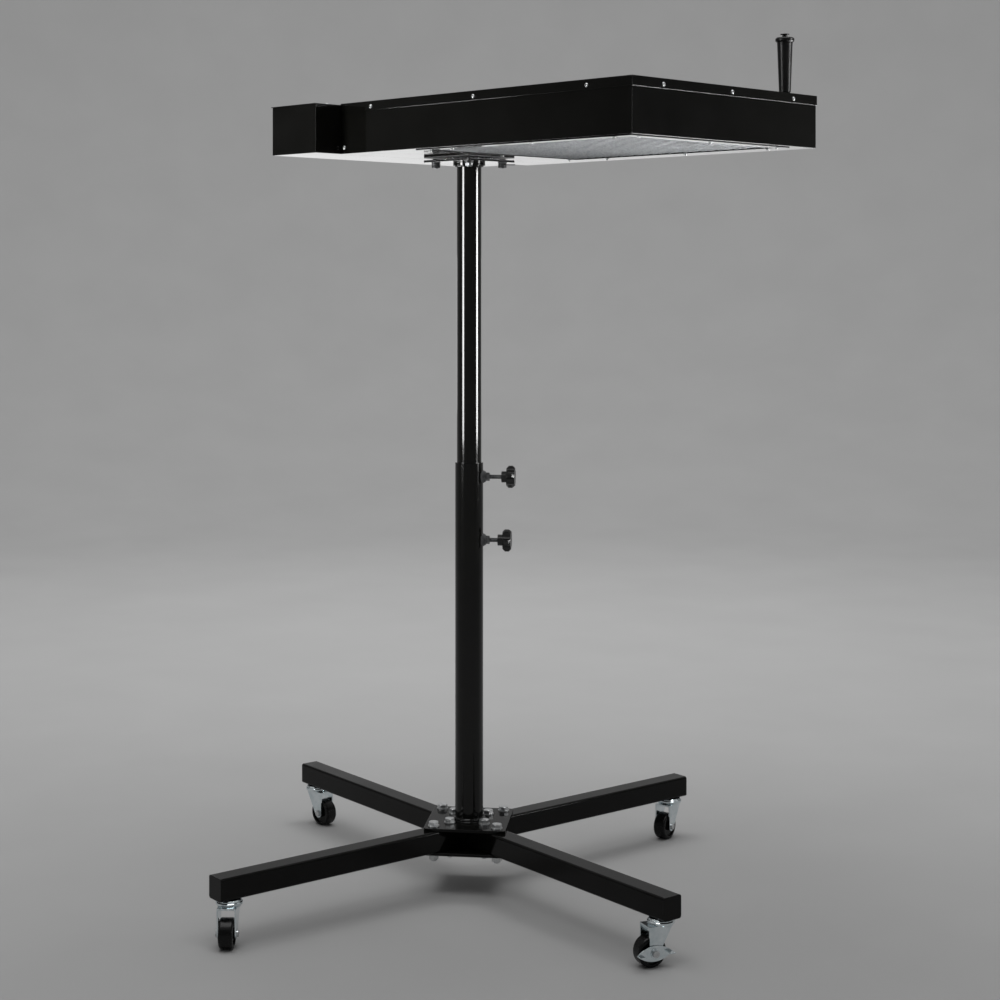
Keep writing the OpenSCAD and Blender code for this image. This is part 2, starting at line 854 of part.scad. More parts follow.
// The housing's pressed box, with the window for the heater in its floor
module heater_housing() {
    color("#1b1b1c") difference() {
        translate([x_ctl, y_near, head_z]) cube([housing_l, housing_w, wall_h]);
        translate([x_ctl + skin, y_near + skin, head_z + skin])
            cube([housing_l - 2*skin, housing_w - 2*skin, wall_h]);
        translate([win_x0 - ledge, win_y0 - ledge, head_z - cut])
            cube([window_l + 2*ledge, win_y1 - win_y0 + 2*ledge, skin + 2*cut]);
        guard_screw_cuts();
        head_bolt_cuts();
        at_lid_screws() screw_cut();
        at_side_screws() screw_cut();
        wire_port_cut();
    }
}

module wire_port_cut() {
    translate([x_ctl - 2*cut, wire_port_y, head_z + wire_port_z]) rotate([0, 90, 0])
        cylinder(d = wire_port_d, h = skin + 3*cut);
}

module top_cover() {
    color("#1b1b1c") difference() {
        translate([x_ctl, y_near - skin, head_top - cover_lip])
            cube([housing_l + skin, housing_w + 2*skin, cover_lip]);
        translate([x_ctl - cut, y_near, head_top - cover_lip - cut])
            cube([housing_l + cut, housing_w, cover_lip + cut - skin]);
        at_lid_screws() screw_cut();
        translate([handle_x, handle_y, head_top - skin - cut])
            cylinder(d = spindle_shank_d + 2*run, h = skin + 2*cut);
    }
}

module cover_screws() {
    color("#c8cbce") {
        at_lid_screws() pan_screw(screw_len);
        at_side_screws() pan_screw(screw_len);
        at_control_screws() pan_screw(screw_len);
    }
}

module guard_frame() {
    color("#1b1b1c") difference() {
        translate([win_x0 - rim_w, win_y0 - rim_w, guard_z])
            cube([window_l + 2*rim_w, win_y1 - win_y0 + 2*rim_w, skin]);
        translate([win_x0, win_y0, guard_z - cut])
            cube([window_l, win_y1 - win_y0, skin + 2*cut]);
        guard_screw_cuts();
    }
}

// Welded wires: one layer across the head, and one along it on top
module guard_mesh() {
    nx = ceil(window_l/wire_pitch);
    ny = ceil((win_y1 - win_y0)/wire_pitch);
    color("#c9ccce") {
        for (i = [0:nx])
            translate([win_x0 + i*window_l/nx, win_y0 - wire_over, head_z + wire_d/2])
                rotate([-90, 0, 0]) cylinder(d = wire_d, h = win_y1 - win_y0 + 2*wire_over, $fn = 16);
        for (i = [0:ny])
            translate([win_x0 - wire_over, win_y0 + i*(win_y1 - win_y0)/ny, head_z + 3*wire_d/2])
                rotate([0, 90, 0]) cylinder(d = wire_d, h = window_l + 2*wire_over, $fn = 16);
    }
}

module guard_screws() {
    color("#c8cbce") at_guard_screws() translate([0, 0, guard_z]) mirror([0, 0, 1])
        pan_screw(screw_len);
}

ref_x0 = win_x0 - ledge - reflector_over;
ref_x1 = win_x1 + ledge + reflector_over;
ref_y0 = win_y0 - ledge - reflector_over;
ref_y1 = win_y1 + ledge + reflector_over;
ref_z = head_z + skin;

ref_l = ref_x1 - ref_x0;
ref_w = ref_y1 - ref_y0;
tube_z = ref_z + 0.38*reflector_h;
holder_top = ref_z + 0.58*reflector_h;

// Cross-section under the reflector's roof, which slopes down to both sides
module roof_section(inset, drop) {
    run = roof_share*ref_w;
    polygon([
        [inset, 0], [inset, roof_lip - drop], [run, reflector_h - drop],
        [ref_w - run, reflector_h - drop], [ref_w - inset, roof_lip - drop],
        [ref_w - inset, 0]]);
}

module along_reflector(x, l) {
    translate([x, ref_y0, ref_z]) rotate([90, 0, 90]) linear_extrude(l) children();
}

// Bright pan over the heater tubes, open downwards
module reflector() {
    t = reflector_t;
    color("#d7d9db") difference() {
        along_reflector(ref_x0, ref_l) roof_section(0, 0);
        along_reflector(ref_x0 + t, ref_l - 2*t) {
            roof_section(t, t);
            translate([t, -cut]) square([ref_w - 2*t, 2*cut]);
        }
    }
}

module insulation() {
    color("#e9e6dc") difference() {
        translate([ref_x0, ref_y0, ref_z]) cube([ref_l, ref_w, reflector_h + insulation_t]);
        along_reflector(ref_x0 - cut, ref_l + 2*cut) {
            roof_section(0, 0);
            translate([-cut, -cut]) square([ref_w + 2*cut, roof_lip + cut]);
        }
    }
}

module at_heater_tubes(x) {
    span = tube_share*ref_w;
    for (i = [0:tube_n - 1])
        translate([x, ref_y0 + (ref_w - span)/2 + i*span/(tube_n - 1), tube_z]) children();
}

module heater_tubes() {
    color("#f3e9d6") at_heater_tubes(ref_x0 + 2*reflector_t)
        rotate([0, 90, 0]) cylinder(d = tube_d, h = ref_l - 4*reflector_t);
}

// Ceramic blocks on the reflector's end walls, which hold the tubes' ends
module ceramic_holders() {
    low = ref_z + holder_drop - tube_z;
    color("#f2f0ea") for (x = [ref_x0 + reflector_t, ref_x1 - reflector_t - holder_l]) difference() {
        at_heater_tubes(x) translate([0, -holder_w/2, low])
            cube([holder_l, holder_w, holder_top - tube_z - low]);
        at_heater_tubes(x - cut) rotate([0, 90, 0])
            cylinder(d = tube_d + 2*tube_fit, h = holder_l + 2*cut);
    }
}

// Control box

module at_panel(y) {
    translate([ctl_x0, y, head_z + panel_z]) rotate([0, -90, 0]) children();
}

// Box with a turned-in top edge, holed for the switch, dial, gland and wires
module control_box() {
    color("#1b1b1c") difference() {
        translate([ctl_x0, ctl_y0, head_z]) cube([control_w, control_l, ctl_wall_h]);
        translate([ctl_x0 + skin, ctl_y0 + skin, head_z + skin])
            cube([control_w - 2*skin, control_l - 2*skin, ctl_wall_h - 2*skin]);
        translate([ctl_x0 + ctl_flange, ctl_y0 + ctl_flange, head_z + skin])
            cube([control_w - 2*ctl_flange, control_l - 2*ctl_flange, ctl_wall_h]);
        at_control_screws() screw_cut();
        at_panel(gland_y) translate([0, 0, -skin - cut])
            cylinder(d = gland_thread_d + 2*run, h = skin + 2*cut);
        at_panel(dial_y) translate([0, 0, -skin - cut])
            cylinder(d = dial_shaft_d + 2*run, h = skin + 2*cut);
        at_panel(switch_y) translate([-switch_w/2, -switch_l/2, -skin - cut])
            cube([switch_w, switch_l, skin + 2*cut]);
        translate([ctl_x1 - skin - cut, wire_port_y, head_z + wire_port_z]) rotate([0, 90, 0])
            cylinder(d = wire_port_d, h = skin + 2*cut);
    }
}

// Flat lid, screwed to the turned-in top edge of the control box
module control_cover() {
    over = control_overhang;
    color("#1b1b1c") difference() {
        translate([ctl_x0 - over, ctl_y0 - over, head_z + ctl_wall_h])
            cube([control_w + over, control_l + 2*over, skin]);
        at_control_screws() screw_cut();
    }
}

module terminal_block() {
    n = terminal_n;
    color("#e4e0d4") translate([ctl_x0 + terminal_x, terminal_y, head_z + skin]) difference() {
        cube([terminal_w, terminal_l, terminal_h]);
        for (i = [0:n - 1])
            translate([-cut, terminal_rib + i*(terminal_l - terminal_rib)/n, terminal_h/2])
                cube([terminal_w/3 + cut, (terminal_l - terminal_rib)/n - terminal_rib, terminal_h]);
        for (i = [0:n - 1])
            translate([2*terminal_w/3, (i + 1/2)*terminal_l/n, terminal_h/2])
                cylinder(d = terminal_screw_d, h = terminal_h);
    }
}

// Cord gland: its bore takes the supply cord
module cable_gland() {
    color("#202020") at_panel(gland_y) difference() {
        union() {
            translate([0, 0, -skin - gland_in]) cylinder(d = gland_thread_d, h = skin + gland_in);
            translate([0, 0, -skin - gland_nut_h])
                cylinder(d = gland_hex_af/cos(30), h = gland_nut_h, $fn = 6);
            cylinder(d = gland_hex_af/cos(30), h = gland_hex_h, $fn = 6);
            translate([0, 0, gland_hex_h])
                cylinder(d1 = gland_cap_d, d2 = gland_cap_d - gland_hex_h, h = gland_cap_l);
        }
        translate([0, 0, -skin - gland_in - cut])
            cylinder(d = gland_bore, h = skin + gland_in + gland_hex_h + gland_cap_l + 2*cut);
    }
}

module switch_bezel() {
    color("#151515") at_panel(switch_y) difference() {
        union() {
            translate([-switch_w/2 + run, -switch_l/2 + run, -skin - bezel_in])
                cube([switch_w - 2*run, switch_l - 2*run, skin + bezel_in]);
            translate([-switch_w/2 - bezel_rim, -switch_l/2 - bezel_rim, 0])
                cube([switch_w + 2*bezel_rim, switch_l + 2*bezel_rim, bezel_out]);
        }
        translate([-rocker_w/2 - gap, -rocker_r - gap, -rocker_sink - rocker_r - gap])
            cube([rocker_w + 2*gap, 2*rocker_r + 2*gap, rocker_r + rocker_sink + bezel_out + cut + gap]);
    }
}

// The rocker turns about the bar through its middle; it is drawn pressed to off
module rocker() {
    color("#b3211c") at_panel(switch_y) translate([0, 0, -rocker_sink])
        rotate([-rocker_throw, 0, 0]) translate([-rocker_w/2, 0, 0]) rotate([90, 0, 90])
            linear_extrude(rocker_w) intersection() {
                circle(r = rocker_r);
                polygon([
                    [-rocker_r, -rocker_r/2], [rocker_r, -rocker_r/2],
                    [rocker_r, rocker_sink + 2*rocker_rise + bezel_out],
                    [0, rocker_sink + rocker_rise],
                    [-rocker_r, rocker_sink + 2*rocker_rise + bezel_out]]);
            }
}

module dial() {
    color("#191919") at_panel(dial_y) {
        translate([0, 0, -skin - dial_shaft_in])
            cylinder(d = dial_shaft_d, h = skin + dial_shaft_in + gap);
        translate([0, 0, gap]) cylinder(d = dial_skirt_d, h = dial_skirt_h);
        translate([0, 0, gap + dial_skirt_h]) linear_extrude(dial_h) difference() {
            circle(d = dial_d);
            for (a = [0:dial_flutes - 1]) rotate(a*360/dial_flutes)
                translate([dial_d/2, 0]) circle(r = dial_flute_r, $fn = 16);
        }
    }
}

// Handle on the top cover, with a grip that turns on its spindle

module handle_spindle() {
    d = spindle_shank_d;
    color("#1b1b1c") translate([handle_x, handle_y, head_top]) {
        translate([0, 0, -skin - spindle_end]) cylinder(d = d, h = skin + spindle_end);
        translate([0, 0, -skin - spindle_end/2]) hex_nut(spindle_nut_af, d, spindle_end/2);
        cylinder(d = spindle_base_d, h = spindle_base_h);
        cylinder(d = spindle_d, h = handle_h);
        translate([0, 0, handle_h - spindle_cap_h]) cylinder(d = spindle_cap_d, h = spindle_cap_h);
    }
}

module handle_grip() {
    low = spindle_base_h + gap;
    high = handle_h - spindle_cap_h - handle_neck_h;
    ring = high - grip_ring_h;
    e = grip_edge;
    color("#141414") translate([handle_x, handle_y, head_top]) rotate_extrude() polygon([
        [spindle_d/2 + run, low], [grip_low_d/2 - e, low], [grip_low_d/2, low + e],
        [grip_high_d/2, ring - e], [grip_high_d/2, ring],
        [grip_ring_d/2 - e, ring], [grip_ring_d/2, ring + e],
        [grip_ring_d/2, high - e], [grip_ring_d/2 - e, high], [spindle_d/2 + run, high]]);
}

hub_top_plate();
hub_bottom_plate();
arm_front_right();
arm_back_right();
arm_back_left();
arm_front_left();
arm_end_caps();
hub_bolts();
hub_nuts();
outer_tube();
clamp_nuts();
caster_stems();
caster_top_races();
fork_front_right();
fork_back_right();
fork_back_left();
fork_front_left();
axle_front_right();
axle_back_right();
axle_back_left();
axle_front_left();
wheel_front_right();
wheel_back_right();
wheel_back_left();
wheel_front_left();
brake_pedal();
inner_tube();
mast_flange();
turntable_lower();
bearing_balls();
flange_bolts();
corner_tab();
swivel_bolt();
upper_stud();
upper_knob();
lower_stud();
lower_knob();
turntable_upper();
head_plate();
head_plate_bolts();
heater_housing();
top_cover();
cover_screws();
guard_frame();
guard_mesh();
guard_screws();
reflector();
insulation();
heater_tubes();
ceramic_holders();
control_box();
control_cover();
terminal_block();
cable_gland();
switch_bezel();
rocker();
dial();
handle_spindle();
handle_grip();
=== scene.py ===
"""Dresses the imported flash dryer: materials, small details, studio and camera."""
import json
import math

import bmesh
import bpy
import numpy as np
from mathutils import Matrix, Vector


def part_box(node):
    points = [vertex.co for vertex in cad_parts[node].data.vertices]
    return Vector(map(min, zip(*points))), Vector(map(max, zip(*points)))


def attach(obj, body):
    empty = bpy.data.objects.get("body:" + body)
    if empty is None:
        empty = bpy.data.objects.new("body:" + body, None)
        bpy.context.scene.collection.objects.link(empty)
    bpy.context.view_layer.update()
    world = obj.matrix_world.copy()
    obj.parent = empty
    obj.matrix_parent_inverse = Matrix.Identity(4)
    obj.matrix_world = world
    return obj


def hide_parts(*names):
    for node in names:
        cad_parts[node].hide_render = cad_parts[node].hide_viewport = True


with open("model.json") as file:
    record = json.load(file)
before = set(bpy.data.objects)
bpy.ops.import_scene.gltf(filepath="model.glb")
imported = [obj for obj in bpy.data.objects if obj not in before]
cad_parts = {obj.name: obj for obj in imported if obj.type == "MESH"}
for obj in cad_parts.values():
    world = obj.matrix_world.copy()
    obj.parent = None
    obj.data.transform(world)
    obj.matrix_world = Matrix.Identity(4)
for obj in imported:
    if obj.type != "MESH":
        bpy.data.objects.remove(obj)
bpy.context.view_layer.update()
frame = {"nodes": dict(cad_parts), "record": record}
NODES = frame["nodes"]
MM = 0.001

# Camera of the photograph, in metres and degrees. It looks along the horizon.
CAMERA_PLACE = (2.4368, -2.4108, 1.0944)
CAMERA_TURN = 45.541
FOCAL_PIXELS = 1896.35
PRINCIPAL_POINT = (461.44, 279.26)
FRAME_PIXELS = 1000
SENSOR = 36.0


def make_camera():
    """The photograph's camera, held level, with its lens shifted to the principal point."""
    data = bpy.data.cameras.new("camera")
    data.sensor_width = SENSOR
    data.lens = FOCAL_PIXELS / FRAME_PIXELS * SENSOR
    data.shift_x = 0.5 - PRINCIPAL_POINT[0] / FRAME_PIXELS
    data.shift_y = PRINCIPAL_POINT[1] / FRAME_PIXELS - 0.5
    data.clip_end = 100
    camera = bpy.data.objects.new("camera", data)
    camera.location = CAMERA_PLACE
    camera.rotation_euler = (math.radians(90), 0, math.radians(CAMERA_TURN))
    bpy.context.scene.collection.objects.link(camera)
    bpy.context.scene.camera = camera


# Node trees for the materials


class Tree:
    """A material's node tree, with short calls to add and link nodes."""

    def __init__(self, name):
        self.material = bpy.data.materials.new(name)
        self.material.use_nodes = True
        self.tree = self.material.node_tree
        self.tree.nodes.clear()
        out = self.add("ShaderNodeOutputMaterial")
        self.shader = self.add("ShaderNodeBsdfPrincipled")
        self.link(self.shader, "BSDF", out, "Surface")
        self.coordinates = self.add("ShaderNodeTexCoord")

    def add(self, kind, **values):
        node = self.tree.nodes.new(kind)
        for name, value in values.items():
            setattr(node, name, value)
        return node

    def link(self, source, output, target, socket):
        self.tree.links.new(source.outputs[output], target.inputs[socket])

    def noise(self, scale, detail, roughness, stretch=(1, 1, 1)):
        """Noise in object coordinates; scale is in cells per metre."""
        mapping = self.add("ShaderNodeMapping")
        mapping.inputs["Scale"].default_value = stretch
        self.link(self.coordinates, "Object", mapping, "Vector")
        noise = self.add("ShaderNodeTexNoise")
        noise.inputs["Scale"].default_value = scale
        noise.inputs["Detail"].default_value = detail
        noise.inputs["Roughness"].default_value = roughness
        self.link(mapping, "Vector", noise, "Vector")
        return noise

    def ramp(self, noise, stops):
        """A ramp over a noise; its two stops are (place, colour or grey value)."""
        ramp = self.add("ShaderNodeValToRGB")
        for element, (place, value) in zip(ramp.color_ramp.elements, stops):
            element.position = place
            grey = not isinstance(value, tuple)
            element.color = (value, value, value, 1) if grey else (*value, 1)
        self.link(noise, "Fac", ramp, "Fac")
        return ramp

    def rounded(self, radius):
        """A normal that rounds sharp edges; the bumps start from it."""
        bevel = self.add("ShaderNodeBevel", samples=4)
        bevel.inputs["Radius"].default_value = radius
        return bevel

    def bump(self, noise, distance, strength, below=None):
        """A bump as high as the noise, laid over the normal below it."""
        bump = self.add("ShaderNodeBump")
        bump.inputs["Distance"].default_value = distance
        bump.inputs["Strength"].default_value = strength
        self.link(noise, "Fac", bump, "Height")
        if below is not None:
            self.link(below, "Normal", bump, "Normal")
        return bump

    def set(self, **values):
        for name, value in values.items():
            self.shader.inputs[name.replace("_", " ")].default_value = value


def paint(name, dark, light, rough_low, rough_high, dust_and_top_light, sheen):
    """Gloss black paint: a faint orange peel, hazy patches, and dust specks on upward faces that also paint
    a lighter reflection on top faces.
    """
    peel, edge = 0.008 * MM, 1.1 * MM
    haze_cells, peel_cells, grit_cells, dust_and_top_light_cells = 14, 260, 1400, 420
    # Grey of the dust specks, which also paints the lighter reflection on top faces.
    dust_and_top_light_colour = (0.25, 0.25, 0.24, 1)
    first_colour, second_colour, mixed_colour = 6, 7, 2
    t = Tree(name)
    t.set(Metallic=0.0, IOR=1.5, Specular_IOR_Level=sheen)
    haze = t.noise(haze_cells, 4, 0.6)
    colour = t.ramp(haze, [(0.35, dark), (0.7, light)])
    rough = t.ramp(haze, [(0.3, rough_low), (0.75, rough_high)])
    t.link(rough, "Color", t.shader, "Roughness")
    wave = t.noise(peel_cells, 2, 0.4)
    low = t.bump(wave, peel, 0.5, t.rounded(edge))
    grit = t.noise(grit_cells, 3, 0.6)
    top = t.bump(grit, peel / 4, 0.35, low)
    t.link(top, "Normal", t.shader, "Normal")
    # Dust specks on upward faces; their amount also paints the lighter reflection that top faces show.
    if dust_and_top_light:
        up = t.add("ShaderNodeNewGeometry")
        split = t.add("ShaderNodeSeparateXYZ")
        t.link(up, "Normal", split, "Vector")
        speck = t.noise(dust_and_top_light_cells, 5, 0.75)
        specks = t.ramp(speck, [(0.52, 0.0), (0.72, dust_and_top_light)])
        facing = t.add("ShaderNodeMath", operation="MULTIPLY", use_clamp=True)
        t.link(split, "Z", facing, 0)
        t.link(specks, "Color", facing, 1)
        mix = t.add("ShaderNodeMix", data_type="RGBA")
        t.link(facing, 0, mix, 0)
        t.link(colour, "Color", mix, first_colour)
        mix.inputs[second_colour].default_value = dust_and_top_light_colour
        t.link(mix, mixed_colour, t.shader, "Base Color")
    else:
        t.link(colour, "Color", t.shader, "Base Color")
    return t.material


def plated(name, dark, light, rough_low, rough_high, scale=60, scratch=0.004 * MM):
    """Plated or bare metal: cloudy tint, uneven shine and fine rubbing marks."""
    edge, marks_per_cloud = 0.4 * MM, 12
    t = Tree(name)
    t.set(Metallic=1.0)
    cloud = t.noise(scale, 5, 0.65)
    colour = t.ramp(cloud, [(0.3, dark), (0.7, light)])
    t.link(colour, "Color", t.shader, "Base Color")
    marks = t.noise(scale * marks_per_cloud, 4, 0.7)
    rough = t.ramp(marks, [(0.3, rough_low), (0.75, rough_high)])
    t.link(rough, "Color", t.shader, "Roughness")
    worn = t.bump(marks, scratch, 0.6, t.rounded(edge))
    t.link(worn, "Normal", t.shader, "Normal")
    return t.material


def moulded(name, dark, light, rough_low, rough_high, grain=0.01 * MM, grain_scale=1800, sheen=0.5):
    """Moulded plastic or rubber, fired ceramic or wool, with a surface grain."""
    cloud_cells = 40
    t = Tree(name)
    t.set(Metallic=0.0, IOR=1.48, Specular_IOR_Level=sheen)
    cloud = t.noise(cloud_cells, 4, 0.6)
    colour = t.ramp(cloud, [(0.3, dark), (0.7, light)])
    t.link(colour, "Color", t.shader, "Base Color")
    rough = t.ramp(cloud, [(0.3, rough_low), (0.75, rough_high)])
    t.link(rough, "Color", t.shader, "Roughness")
    fine = t.noise(grain_scale, 3, 0.6)
    t.link(t.bump(fine, grain, 0.5), "Normal", t.shader, "Normal")
    return t.material


def quartz(name):
    """Milky fused quartz: half clear, with faint drawing lines along the tube."""
    streak_cells, depth, along_tube = 120, 0.02 * MM, (0.05, 1, 1)
    dark, light = (0.86, 0.84, 0.80), (0.95, 0.94, 0.92)
    t = Tree(name)
    t.set(Metallic=0.0, IOR=1.46, Transmission_Weight=0.75)
    streak = t.noise(streak_cells, 4, 0.6, along_tube)
    colour = t.ramp(streak, [(0.3, dark), (0.7, light)])
    t.link(colour, "Color", t.shader, "Base Color")
    rough = t.ramp(streak, [(0.3, 0.18), (0.7, 0.38)])
    t.link(rough, "Color", t.shader, "Roughness")
    t.link(t.bump(streak, depth, 0.5), "Normal", t.shader, "Normal")
    return t.material


def make_materials():
    """One material for each slot of the record, and the ribs' own, a lighter copy of the reflector sheet
    that paints their highlights.
    """
    base_dark, base_light = (0.0025, 0.0025, 0.0022), (0.004, 0.004, 0.0036)
    gloss_dark, gloss_light = (0.003, 0.003, 0.0028), (0.0045, 0.0045, 0.004)
    head_dark = (0.003, 0.003, 0.0026)
    return {
        # dust_and_top_light: dust specks that also paint a lighter reflection on the top faces.
        "base_paint": paint("base_paint", base_dark, base_light, 0.06, 0.12, dust_and_top_light=0.05, sheen=0.17),
        "mast_paint": paint("mast_paint", gloss_dark, gloss_light, 0.06, 0.11, dust_and_top_light=0.0, sheen=0.3),
        "head_paint": paint("head_paint", head_dark, gloss_light, 0.06, 0.11, dust_and_top_light=0.04, sheen=0.18),
        "zinc": plated("zinc", (0.48, 0.49, 0.50), (0.70, 0.71, 0.71), 0.30, 0.48, 90),
        "dark_zinc": plated("dark_zinc", (0.08, 0.083, 0.086), (0.20, 0.203, 0.206), 0.28, 0.5, 90),
        "caster_plating": plated("caster_plating", (0.62, 0.70, 0.73), (0.84, 0.89, 0.91),
                                 0.05, 0.14, 60),
        "turntable_sheet": plated("turntable_sheet", (0.05, 0.05, 0.052), (0.11, 0.11, 0.115),
                                  0.3, 0.5),
        "ball_steel": plated("ball_steel", (0.70, 0.71, 0.72), (0.85, 0.86, 0.87), 0.06, 0.14, 200),
        # The ribs are the reflector's own sheet, painted much lighter as their highlights.
        "rib_sheet_painted_highlight": plated("rib_sheet_painted_highlight", (0.84, 0.85, 0.86), (0.93, 0.94, 0.95), 0.20, 0.32),
        "guard_wire": plated("guard_wire", (0.12, 0.125, 0.13), (0.20, 0.205, 0.21), 0.30, 0.42, 120),
        "reflector_sheet": plated("reflector_sheet", (0.26, 0.27, 0.28), (0.34, 0.35, 0.36),
                                  0.22, 0.34, 60, 0.001 * MM),
        "tread": moulded("tread", (0.002, 0.002, 0.002), (0.004, 0.004, 0.004), 0.20, 0.34, sheen=0.25),
        "knob_plastic": moulded("knob_plastic", (0.004, 0.004, 0.004), (0.009, 0.009, 0.009),
                                0.26, 0.40),
        "grip_plastic": moulded("grip_plastic", (0.004, 0.004, 0.004), (0.007, 0.007, 0.007),
                                0.28, 0.42, sheen=0.15),
        "gland_plastic": moulded("gland_plastic", (0.010, 0.010, 0.010), (0.018, 0.018, 0.018),
                                 0.35, 0.5),
        "rocker_plastic": moulded("rocker_plastic", (0.40, 0.015, 0.012), (0.48, 0.022, 0.016),
                                  0.16, 0.28),
        "ceramic": moulded("ceramic", (0.72, 0.70, 0.66), (0.84, 0.83, 0.80),
                           0.30, 0.50, 0.03 * MM, 900),
        "insulation_wool": moulded("insulation_wool", (0.62, 0.60, 0.55), (0.80, 0.79, 0.75),
                                   0.85, 0.97, 0.6 * MM, 500, 0.2),
        "quartz": quartz("quartz"),
    }


MATERIALS = make_materials()
# Dark colour for the screws' cross recess: painted shade on a block, not a real hole.
RECESS_PAINTED_SHADE = moulded("screw_recess_painted_shade", (0.010, 0.010, 0.010), (0.022, 0.022, 0.022), 0.5, 0.7)
MARKING = moulded("white_marking", (0.70, 0.70, 0.69), (0.80, 0.80, 0.79), 0.45, 0.6)


def dress_nodes():
    """Gives each CAD node the material of its slot in the record."""
    slots = {part["node"]: part["material_slot"] for part in frame["record"]["subparts"]}
    for name, node in NODES.items():
        for place in node.material_slots:
            place.link = "OBJECT"
            place.material = MATERIALS[slots[name]]


# Shapes for the small pieces


def solids(node):
    """The separate solids of a CAD node, each as an array of its points."""
    mesh = NODES[node].data
    digits = 6
    where, ids = {}, []
    for v in mesh.vertices:
        ids.append(where.setdefault(tuple(round(c, digits) for c in v.co), len(where)))
    parent = list(range(len(where)))

    def root(i):
        while parent[i] != i:
            parent[i] = parent[parent[i]]
            i = parent[i]
        return i

    for face in mesh.polygons:
        first = root(ids[face.vertices[0]])
        for v in face.vertices[1:]:
            parent[root(ids[v])] = first
    groups = {}
    for point, i in where.items():
        groups.setdefault(root(i), []).append(point)
    return [np.array(points) for points in groups.values()]


def long_axis(points):
    """Middle, unit direction and half length of a long solid."""
    middle = (points.min(0) + points.max(0)) / 2
    direction = np.linalg.svd(points - points.mean(0), full_matrices=False)[2][0]
    along = (points - middle) @ direction
    shift = (along.max() + along.min()) / 2
    return Vector(middle + shift * direction), Vector(direction), (along.max() - along.min()) / 2


def facing(place, direction):
    """Matrix that puts +Z along direction and the origin at place."""
    return Matrix.Translation(place) @ direction.to_track_quat("Z", "Y").to_matrix().to_4x4()


def lathe(bm, profile, steps, matrix=Matrix.Identity(4), material=0):
    """Revolves (radius, height) points about Z; a radius of 0 closes an end."""
    rings = []
    for r, z in profile:
        if r == 0:
            rings.append([bm.verts.new(matrix @ Vector((0, 0, z)))])
            continue
        angles = [2 * math.pi * k / steps for k in range(steps)]
        rings.append([bm.verts.new(matrix @ Vector((r * math.cos(a), r * math.sin(a), z))) for a in angles])
    for low, high in zip(rings, rings[1:]):
        for k in range(steps):
            n = (k + 1) % steps
            if len(low) == 1:
                corners = [low[0], high[n], high[k]]
            elif len(high) == 1:
                corners = [low[k], low[n], high[0]]
            else:
                corners = [low[k], low[n], high[n], high[k]]
            face = bm.faces.new(corners)
            face.material_index = material
            face.smooth = True


def block(bm, size, matrix, material=0):
    """A box of that size round the matrix's origin."""
    made = bmesh.ops.create_cube(bm, size=1.0, matrix=matrix @ Matrix.Diagonal((*size, 1)))
    for face in {f for v in made["verts"] for f in v.link_faces}:
        face.material_index = material


def sweep(bm, centres, radius, sides, closed=False):
    """A round wire through the centres; radius is a length, or gives one for each centre."""
    points = [Vector(c) for c in centres]
    count = len(points)
    rings, side = [], None
    for i, p in enumerate(points):
        after = points[(i + 1) % count] if closed or i + 1 < count else p
        before = points[i - 1] if closed or i else p
        ahead = (after - before).normalized()
        side = (ahead.orthogonal() if side is None else side - ahead * side.dot(ahead)).normalized()
        up = ahead.cross(side)
        angles = [2 * math.pi * k / sides for k in range(sides)]
        r = radius(i) if callable(radius) else radius
        rings.append([bm.verts.new(p + r * (math.cos(a) * side + math.sin(a) * up)) for a in angles])
    pairs = list(zip(rings, rings[1:])) + ([(rings[-1], rings[0])] if closed else [])
    for low, high in pairs:
        for k in range(sides):
            n = (k + 1) % sides
            bm.faces.new([low[k], low[n], high[n], high[k]]).smooth = True
    if not closed:
        bm.faces.new(list(reversed(rings[0])))
        bm.faces.new(rings[-1])


def piece(name, bm, body, slot, materials=None, replaces=()):
    """Turns the mesh into a piece that rides on a body, in the slot's material or its own."""
    bmesh.ops.recalc_face_normals(bm, faces=bm.faces)
    mesh = bpy.data.meshes.new(name)
    bm.to_mesh(mesh)
    bm.free()
    obj = bpy.data.objects.new(name, mesh)
    bpy.context.scene.collection.objects.link(obj)
    for material in materials or [MATERIALS[slot]]:
        mesh.materials.append(material)
    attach(obj, body)
    if replaces:
        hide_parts(*replaces)


# Screws, studs, tubes and marks


def make_screws(node, body):
    """Domed cross-recess screws in place of the node's plain ones; the cross is a dark block whose colour
    paints the recess's shade.
    """
    head_share, shank_share = 0.69, 0.45
    dome_shares = [(0.97, 1), (1, 0.88), (0.94, 0.55), (0.80, 0.25), (0.58, 0.07), (0.3, 0.01), (0, 0)]
    slot_length_share, slot_width_share = 1.1, 0.24
    slot_depth_share, slot_place_share = 0.16, 0.06
    bm = bmesh.new()
    for points in solids(node):
        middle, direction, half = long_axis(points)
        along = (points - np.array(middle)) @ np.array(direction)
        spread = np.linalg.norm(points - np.array(middle) - np.outer(along, direction), axis=1)
        if along[spread.argmax()] < 0:
            direction.negate()
        radius = spread.max()
        at = facing(middle + direction * half, direction)
        depth = head_share * radius
        shank = shank_share * radius
        profile = [(0, -2 * half), (shank, -2 * half), (shank, -depth)]
        profile += [(r * radius, -z * depth) for r, z in dome_shares]
        lathe(bm, profile, steps=24, matrix=at)
        length, width = slot_length_share * radius, slot_width_share * radius
        recess = at @ Matrix.Translation((0, 0, -slot_place_share * depth))
        # The cross is a dark block set in the dome, painted shade for the recess.
        for size in ((length, width), (width, length)):
            block(bm, (*size, slot_depth_share * depth), recess, material=1)
    piece(node + "_detail", bm, body, "zinc", [MATERIALS["zinc"], RECESS_PAINTED_SHADE], [node])


